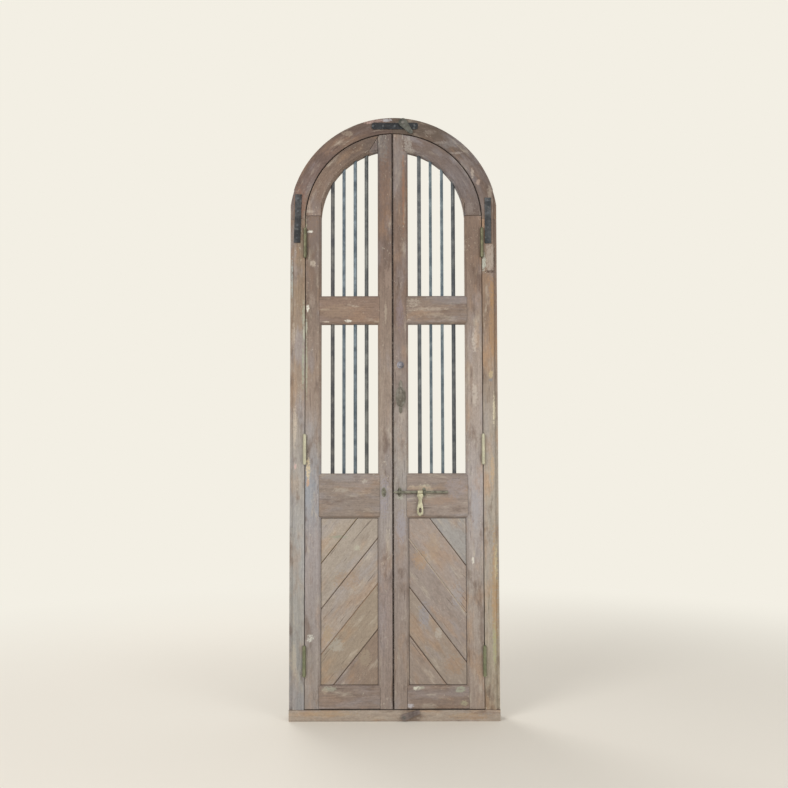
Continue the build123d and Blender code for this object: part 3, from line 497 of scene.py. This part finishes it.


# Curved top rails: sawn from wide planks and let into the heads of the stiles. Their inner edge, along
# the barred openings, carries a dark line of dirt and painted shade.

curved_finish = {
    "left_curved_rail": {
        "tones": [(2.0, "#806f64"), (2.2, "#826f62"), (2.36, "#6b5d54")],
        "seed": 17, "tan": 0.35, "lilac": 0.3,
        "patches": [
            (-355, 2080, 14, 16, "#a89b8e", 0.6), (-345, 2068, 20, 6, "#b9ad9e", 0.5),
            (-250, 2180, 24, 40, "#84756c", 0.4)]},
    "right_curved_rail": {
        "tones": [(2.0, "#706158"), (2.2, "#796f6c"), (2.36, "#74645b")],
        "seed": 18, "tan": 0.2, "lilac": 0.6,
        "patches": [
            (60, 2346, 16, 40, "#a7a098", 0.65), (70, 2318, 18, 12, "#a69d94", 0.6),
            (314, 2080, 16, 26, "#8e837c", 0.6), (150, 2318, 60, 20, "#786d67", 0.4)]}}
opening_radius = {"left": 297.5, "right": 292.5}
for node, finish in curved_finish.items():
    side = node.split("_")[0]
    teak = weathered_teak(f"weathered_teak_{node}", CURVED,
                          seams=[("R", opening_radius[side], 2.5, 0.6)], **finish)
    rail = wood_piece(node, teak)
    # The eased arrises take the second finish: near black dirt and painted shade
    ease_arrises(rail, 0.0014, on_leaf_faces, steps=1, finish=1)
    hand_over(rail, node, f"{side}_leaf")


# Straight rails: cross, lock and bottom rails with level grain. Their ends are scribed over the stiles,
# and dirt and painted shade darken that joint and the rails' top and bottom edges.

rail_finish = {
    "left_cross_rail": {
        "tones": [(0, "#8a7669")],
        "seed": 21, "tan": 0.3, "lilac": 0.3,
        "patches": [
            (-187, 1614, 12, 6, "#ddd8cc", 0.95), (-275, 1611, 12, 3, "#d8cbbb", 0.7),
            (-285, 1662, 32, 4, "#b7a794", 0.6), (-230, 1655, 60, 26, "#a08b76", 0.4)]},
    "right_cross_rail": {
        "tones": [(0, "#8a7a6e")],
        "seed": 22, "tan": 0.35, "lilac": 0.5,
        "patches": [
            (158, 1664, 66, 7, "#b3a596", 0.6), (85, 1690, 24, 16, "#b5aa9c", 0.6),
            (215, 1694, 60, 12, "#7f7875", 0.4), (165, 1643, 44, 5, "#b09f8c", 0.5)]},
    "left_lock_rail": {
        "tones": [(0, "#908379")],
        "seed": 23, "tan": 0.3, "lilac": 0.45,
        "patches": [
            (-215, 925, 34, 9, "#aca397", 0.6), (-120, 960, 12, 8, "#b8b0a4", 0.7),
            (-230, 975, 60, 12, "#94908e", 0.5)]},
    "right_lock_rail": {
        "tones": [(0, "#978a81")],
        "seed": 24, "tan": 0.35, "lilac": 0.5,
        "patches": [
            (128, 922, 26, 24, "#cfc8b0", 0.6), (90, 936, 34, 6, "#c9b9a0", 0.55),
            (150, 905, 20, 14, "#b9b2a4", 0.4), (110, 930, 60, 8, "#b29a86", 0.6),
            (250, 935, 40, 40, "#a39da3", 0.3), (180, 880, 70, 16, "#a28a78", 0.5)]},
    "left_bottom_rail": {
        "tones": [(0, "#8c7d73")],
        "seed": 25, "tan": 0.2, "lilac": 0.4,
        "patches": [
            (-262, 128, 26, 9, "#aeb0a0", 0.6), (-280, 120, 12, 12, "#b5a693", 0.5)]},
    "right_bottom_rail": {
        "tones": [(0, "#8b7b70")],
        "seed": 26, "tan": 0.25, "lilac": 0.35,
        "patches": [
            (90, 131, 14, 7, "#d8d6c4", 0.9), (110, 133, 12, 5, "#b9b7a4", 0.6),
            (265, 126, 18, 12, "#a9ad98", 0.7), (280, 72, 13, 10, "#b0ae90", 0.6),
            (64, 62, 12, 9, "#c3c0c4", 0.8), (50, 78, 16, 12, "#a3968e", 0.5)]}}
for node, finish in rail_finish.items():
    low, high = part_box(node)
    # The tenons stay inside the stiles, so the box's lowest and highest points are the rail's edges
    # Dark lines of dirt and painted shade along the rail's top and bottom edges
    edges = [("Z", z * 1000, 3, 0.75) for z in (low.z, high.z)]
    teak = weathered_teak(f"weathered_teak_{node}", LEVEL, seams=edges, **finish)
    rail = wood_piece(node, teak)
    # The eased arrises take the second finish: near black dirt and painted shade
    ease_arrises(rail, 0.0018, on_leaf_faces, steps=1, finish=1)
    hand_over(rail, node, node.split("_")[0] + "_leaf")


# Boards of the lower panels: thin tongued teak on the slant, rising towards the meeting stile on the
# left leaf and falling away from it on the right one. They sit loose in grooves.

board_slant = {"left": math.radians(51), "right": math.radians(-52.5)}
board_tones = {
    "left": ("#aa9e91", "#a99e92", "#a79b90", "#9e9080", "#928173"),
    "right": ("#9e9a96", "#a2958c", "#9b8f87", "#9c8f83", "#998b80")}
board_patches = {
    "left": [
        (-190, 560, 60, 40, "#a5876a", 0.4), (-235, 300, 34, 26, "#b0aba0", 0.6),
        (-270, 350, 22, 34, "#b09a7c", 0.5), (-120, 250, 26, 34, "#a79a86", 0.5),
        (-150, 690, 14, 12, "#b9b6a4", 0.7), (-228, 735, 40, 6, "#8f9a86", 0.5)],
    "right": [
        (105, 640, 30, 40, "#b3926e", 0.5), (160, 700, 26, 60, "#ad9780", 0.5),
        (178, 350, 14, 26, "#b9b1a6", 0.7), (120, 420, 24, 50, "#9a9aa2", 0.5),
        (240, 220, 40, 40, "#a5876c", 0.5), (255, 500, 26, 50, "#a6a4a6", 0.5)]}
panel_edges = {"left": (-297.5, -65), "right": (59, 292.5)}
panel_heights = (142, 811)
patch_margin = 0.02  # a patch this near to a board's box may reach it
past_the_face = 0.014  # the boards lie 10 mm behind the front, and the painted shade and dirt round them fade here
board_vee_dirt_and_shade = joint_grime_and_light("brown_dirt_between_boards", "#4b3f37", "#7a695d")
# Some joints are pale instead: old cream paint and bare wood, which also paint the highlight of the
# vee's lit upward face
pale_highlit_joints = {
    "left_board_1": joint_grime_and_light("grey_cream_paint_between_boards", "#9a8d79", "#cfc1a6"),
    "left_board_4": joint_grime_and_light("bare_teak_between_boards", "#7f6958", "#ab927a"),
    "right_board_3": joint_grime_and_light("cream_paint_between_boards", "#a2968a", "#dccdb6")}
for side, slant in board_slant.items():
    # A dark rim round each panel: painted shade where the boards lie behind the frame's front, and dirt
    rims = ([("X", x, 3.5, 0.8) for x in panel_edges[side]]
            + [("Z", z, 3.5, 0.8) for z in panel_heights])
    for number, tone in enumerate(board_tones[side], start=1):
        node = f"{side}_board_{number}"
        low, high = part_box(node)
        near = [patch for patch in board_patches[side]
                if low.x - patch_margin < patch[0] / 1000 < high.x + patch_margin
                and low.z - patch_margin < patch[1] / 1000 < high.z + patch_margin]
        teak = weathered_teak(
            f"weathered_teak_{node}", slant, [(0, tone)], seed=30 + number * 3.7 + slant,
            tan=0.45, lilac=0.45, patches=near, seams=rims, wear=0.7, streaks=0.5, damp=0.3,
            deep=past_the_face)
        board = wood_piece(node, teak, pale_highlit_joints.get(node, board_vee_dirt_and_shade))
        # Dirt and painted shade on the upward face of each vee; on the pale joints, a painted highlight
        for face in board.data.polygons:
            in_the_vee = -0.9 < face.normal.y < -0.3
            if in_the_vee and (face.normal.z > 0 or node == "left_board_1"):
                face.material_index = 1
        hand_over(board, node, f"{side}_leaf")


# Grille bars: square wrought iron, let through the cross rail and into the curved and lock rails.
# They came black from the forge, and dust and hands have turned them grey or blue.


def wrought_iron(name, dark, light, rust, dust=0.2, seed=0.0):
    """Forged iron, rubbed and dusty. The eye sees a dark skin with a broad soft sheen, paler where
    it is rubbed, brown in its pits and grey where dust has settled."""
    made = new_material(name)
    tree = made.node_tree
    spot = add_node(tree, "ShaderNodeTexCoord").outputs["Object"]
    spot = add_node(tree, "ShaderNodeVectorMath", {0: spot, 1: (seed, seed, seed)},
                    operation="ADD").outputs[0]
    # Rubbed places 45 mm long, and pits of 6 mm and dust of 13 mm, coarser than real to show
    pits = add_node(tree, "ShaderNodeTexNoise", {
        "Vector": spot, "Scale": 160.0, "Detail": 4.0, "Roughness": 0.7}).outputs["Fac"]
    areas = add_node(tree, "ShaderNodeTexNoise", {
        "Vector": spot, "Scale": 22.0, "Detail": 4.0, "Roughness": 0.65}).outputs["Fac"]
    grains = add_node(tree, "ShaderNodeTexNoise", {
        "Vector": spot, "Scale": 75.0, "Detail": 3.0, "Roughness": 0.6}).outputs["Fac"]
    colour = tint(tree, linear(dark), light, 1, (areas, 0.38, 0.66))
    colour = tint(tree, colour, "#6a5040", rust, (pits, 0.56, 0.70))
    colour = tint(tree, colour, "#a9aca8", dust, (grains, 0.58, 0.72))
    rough = add_node(tree, "ShaderNodeMapRange", {
        "Value": areas, "From Min": 0.3, "From Max": 0.7, "To Min": 0.72, "To Max": 0.5}).outputs[0]
    bump = add_node(tree, "ShaderNodeBump", {"Strength": 0.5, "Distance": 0.0008, "Height": pits})
    shader = add_node(tree, "ShaderNodeBsdfPrincipled", {
        "Base Color": colour, "Metallic": 0.35, "Roughness": rough, "Normal": bump.outputs["Normal"]})
    add_node(tree, "ShaderNodeOutputMaterial", {"Surface": shader.outputs[0]})
    return made


def fix_metal(node, body, slot, finish, smooth, arris=None, flat_faces=True):
    """A copy of a metal node in its finish, its sharp edges worn round by arris metres."""
    piece = copy_node(node, f"{slot}_{node}", flat_faces)
    if arris:
        ease_arrises(piece, arris)
    piece.data.materials.append(finish)
    hand_over(piece, node, body, smooth)


bar_tones = {
    "left_bar_1": ("#5b5e5f", "#818380"), "left_bar_2": ("#4f5c65", "#727f87"),
    "left_bar_3": ("#4f5b65", "#717d85"), "left_bar_4": ("#545558", "#787774"),
    "right_bar_1": ("#565c61", "#7a7e7f"), "right_bar_2": ("#55626a", "#788489"),
    "right_bar_3": ("#54616a", "#778388"), "right_bar_4": ("#4f5459", "#737677")}
for number, (node, (dark, light)) in enumerate(bar_tones.items()):
    iron = wrought_iron(f"wrought_iron_{node}", dark, light, rust=0.15, dust=0.25, seed=number * 0.7)
    fix_metal(node, node.split("_")[0] + "_leaf", "iron", iron, 28, arris=0.0009)


# Straps: flat wrought iron nailed over the frame's joints at the springing and the crown, the
# blackest iron of the door. The nails have forged round heads.

for node, dark, light in (("left_strap", "#2c2e31", "#4b4c4e"), ("right_strap", "#34373a", "#56585a"),
                          ("crown_strap", "#171a1e", "#303338")):
    iron = wrought_iron(f"wrought_iron_{node}", dark, light, rust=0.3)
    fix_metal(node, "frame", "iron", iron, 28, arris=0.0011)

nail_iron = wrought_iron("forged_nail_heads", "#3b3f44", "#62666a", rust=0.4)
fix_metal("strap_nails", "frame", "iron", nail_iron, 50)


# Turn buttons: flat iron cams over the crown and on the sill, each on a round-headed screw with a
# washer. The upper one keeps its olive black, and the lower one is rubbed down to brown.

screw_iron = wrought_iron("iron_button_screws", "#55524e", "#7d7a74", rust=0.5)
fix_metal("button_screws", "frame", "iron", screw_iron, 40)

for node, body, dark, light in (
        ("top_turn_button", "top_button", "#3d3e38", "#62625b"),
        ("bottom_turn_button", "bottom_button", "#675c58", "#877b76")):
    iron = wrought_iron(f"worn_iron_{node}", dark, light, rust=0.2, dust=0.35, seed=2.3)
    fix_metal(node, body, "iron", iron, 40, arris=0.0012)


# Pull handle and knob: cast iron bolted to the right meeting stile at the height of the hand,
# rubbed pale by it.

for node, dark, light in (("pull_handle", "#6f6a5f", "#99948a"), ("knob", "#6b6970", "#a3a2aa")):
    iron = wrought_iron(f"worn_iron_{node}", dark, light, rust=0.25, dust=0.3, seed=1.1)
    fix_metal(node, "right_leaf", "iron", iron, 50, flat_faces=False)


# Butt hinges: cast brass flaps, three to a leaf, on brass pins, let in flush and screwed. Only the
# knuckles show on a closed door. The upper ones are dark olive, the middle ones pale, and the lowest
# green.


def aged_brass(name, dark, light, green, tarnish, seed=0.0, rough=(0.35, 0.6), metal=0.6,
               levels=()):
    """Cast brass gone dull. The eye sees straw and olive with a soft gloss, matt where it is brown,
    and green verdigris in its pits. levels are (height, half height, colour, share) of other tones."""
    made = new_material(name)
    tree = made.node_tree
    spot = add_node(tree, "ShaderNodeTexCoord").outputs["Object"]
    height = add_node(tree, "ShaderNodeSeparateXYZ", {0: spot}).outputs["Z"]
    spot = add_node(tree, "ShaderNodeVectorMath", {0: spot, 1: (seed, seed, seed)},
                    operation="ADD").outputs[0]
    # Dull places 22 mm across, and pits of 5 mm, coarser than real to show
    areas = add_node(tree, "ShaderNodeTexNoise", {
        "Vector": spot, "Scale": 45.0, "Detail": 4.0, "Roughness": 0.65}).outputs["Fac"]
    pits = add_node(tree, "ShaderNodeTexNoise", {
        "Vector": spot, "Scale": 210.0, "Detail": 3.0, "Roughness": 0.65}).outputs["Fac"]
    colour = tint(tree, linear(light), dark, 1, (areas, 0.36, 0.66))
    colour = tint(tree, colour, green, tarnish, (pits, 0.46, 0.66))
    for middle, reach, tone, share in levels:
        here = add_node(tree, "ShaderNodeMath", {0: height, 1: middle, 2: reach},
                        operation="COMPARE").outputs[0]
        colour = tint(tree, colour, tone, share, (here, 0, 1))
    gloss = add_node(tree, "ShaderNodeMapRange", {
        "Value": areas, "From Min": 0.3, "From Max": 0.7,
        "To Min": rough[0], "To Max": rough[1]}).outputs[0]
    bump = add_node(tree, "ShaderNodeBump", {"Strength": 0.35, "Distance": 0.0006, "Height": pits})
    shader = add_node(tree, "ShaderNodeBsdfPrincipled", {
        "Base Color": colour, "Metallic": metal, "Roughness": gloss,
        "Normal": bump.outputs["Normal"]})
    add_node(tree, "ShaderNodeOutputMaterial", {"Surface": shader.outputs[0]})
    return made


hinge_brass = aged_brass("olive_brass_hinges", "#66644e", "#918e72", "#777c66", tarnish=0.6, levels=(
    (1.937, 0.15, "#56543f", 0.6), (1.090, 0.15, "#cfcbb4", 0.65), (0.240, 0.15, "#7c8468", 0.5)))
for node, body in (
        ("left_frame_hinge_flaps", "frame"), ("right_frame_hinge_flaps", "frame"),
        ("left_hinge_pins", "frame"), ("right_hinge_pins", "frame"), ("frame_hinge_screws", "frame"),
        ("left_leaf_hinge_flaps", "left_leaf"), ("left_leaf_hinge_screws", "left_leaf"),
        ("right_leaf_hinge_flaps", "right_leaf"), ("right_leaf_hinge_screws", "right_leaf")):
    fix_metal(node, body, "brass", hinge_brass, 35)


# Bolt: a brass rod that slides through two staples on the right leaf into the keeper on the left
# one. It has gone dull grey, with verdigris round the staples.

bolt_brass = aged_brass("dull_brass_bolt", "#5a574c", "#8c897b", "#8a9283", tarnish=0.4, seed=1.7)
for node, body in (("bolt_keeper", "left_leaf"), ("bolt_staples", "right_leaf"), ("bolt_rod", "bolt")):
    fix_metal(node, body, "brass", bolt_brass, 35)


# Hasp: a slotted brass lobe that hangs from the bolt's waist by a closed barrel. Hands have kept it
# the brightest metal of the door.

hasp = copy_node("hasp", "brass_hasp")
hasp_low, hasp_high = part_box("hasp")
hasp_middle = (hasp_low.x + hasp_high.x) / 2
slot_height = 0.843
slot_half_width, slot_half_length = 0.0062, 0.0115  # the slot and a margin of 1 mm


def off_the_slot(place):
    return (abs(place.x - hasp_middle) > slot_half_width
            or abs(place.z - slot_height) > slot_half_length)


ease_arrises(hasp, 0.0007, off_the_slot)
hasp.data.materials.append(aged_brass(
    "worn_bright_hasp", "#a5a187", "#d2ceb2", "#86836c", tarnish=0.25, seed=0.4,
    rough=(0.28, 0.42), metal=0.55))
hand_over(hasp, "hasp", "hasp", 40)
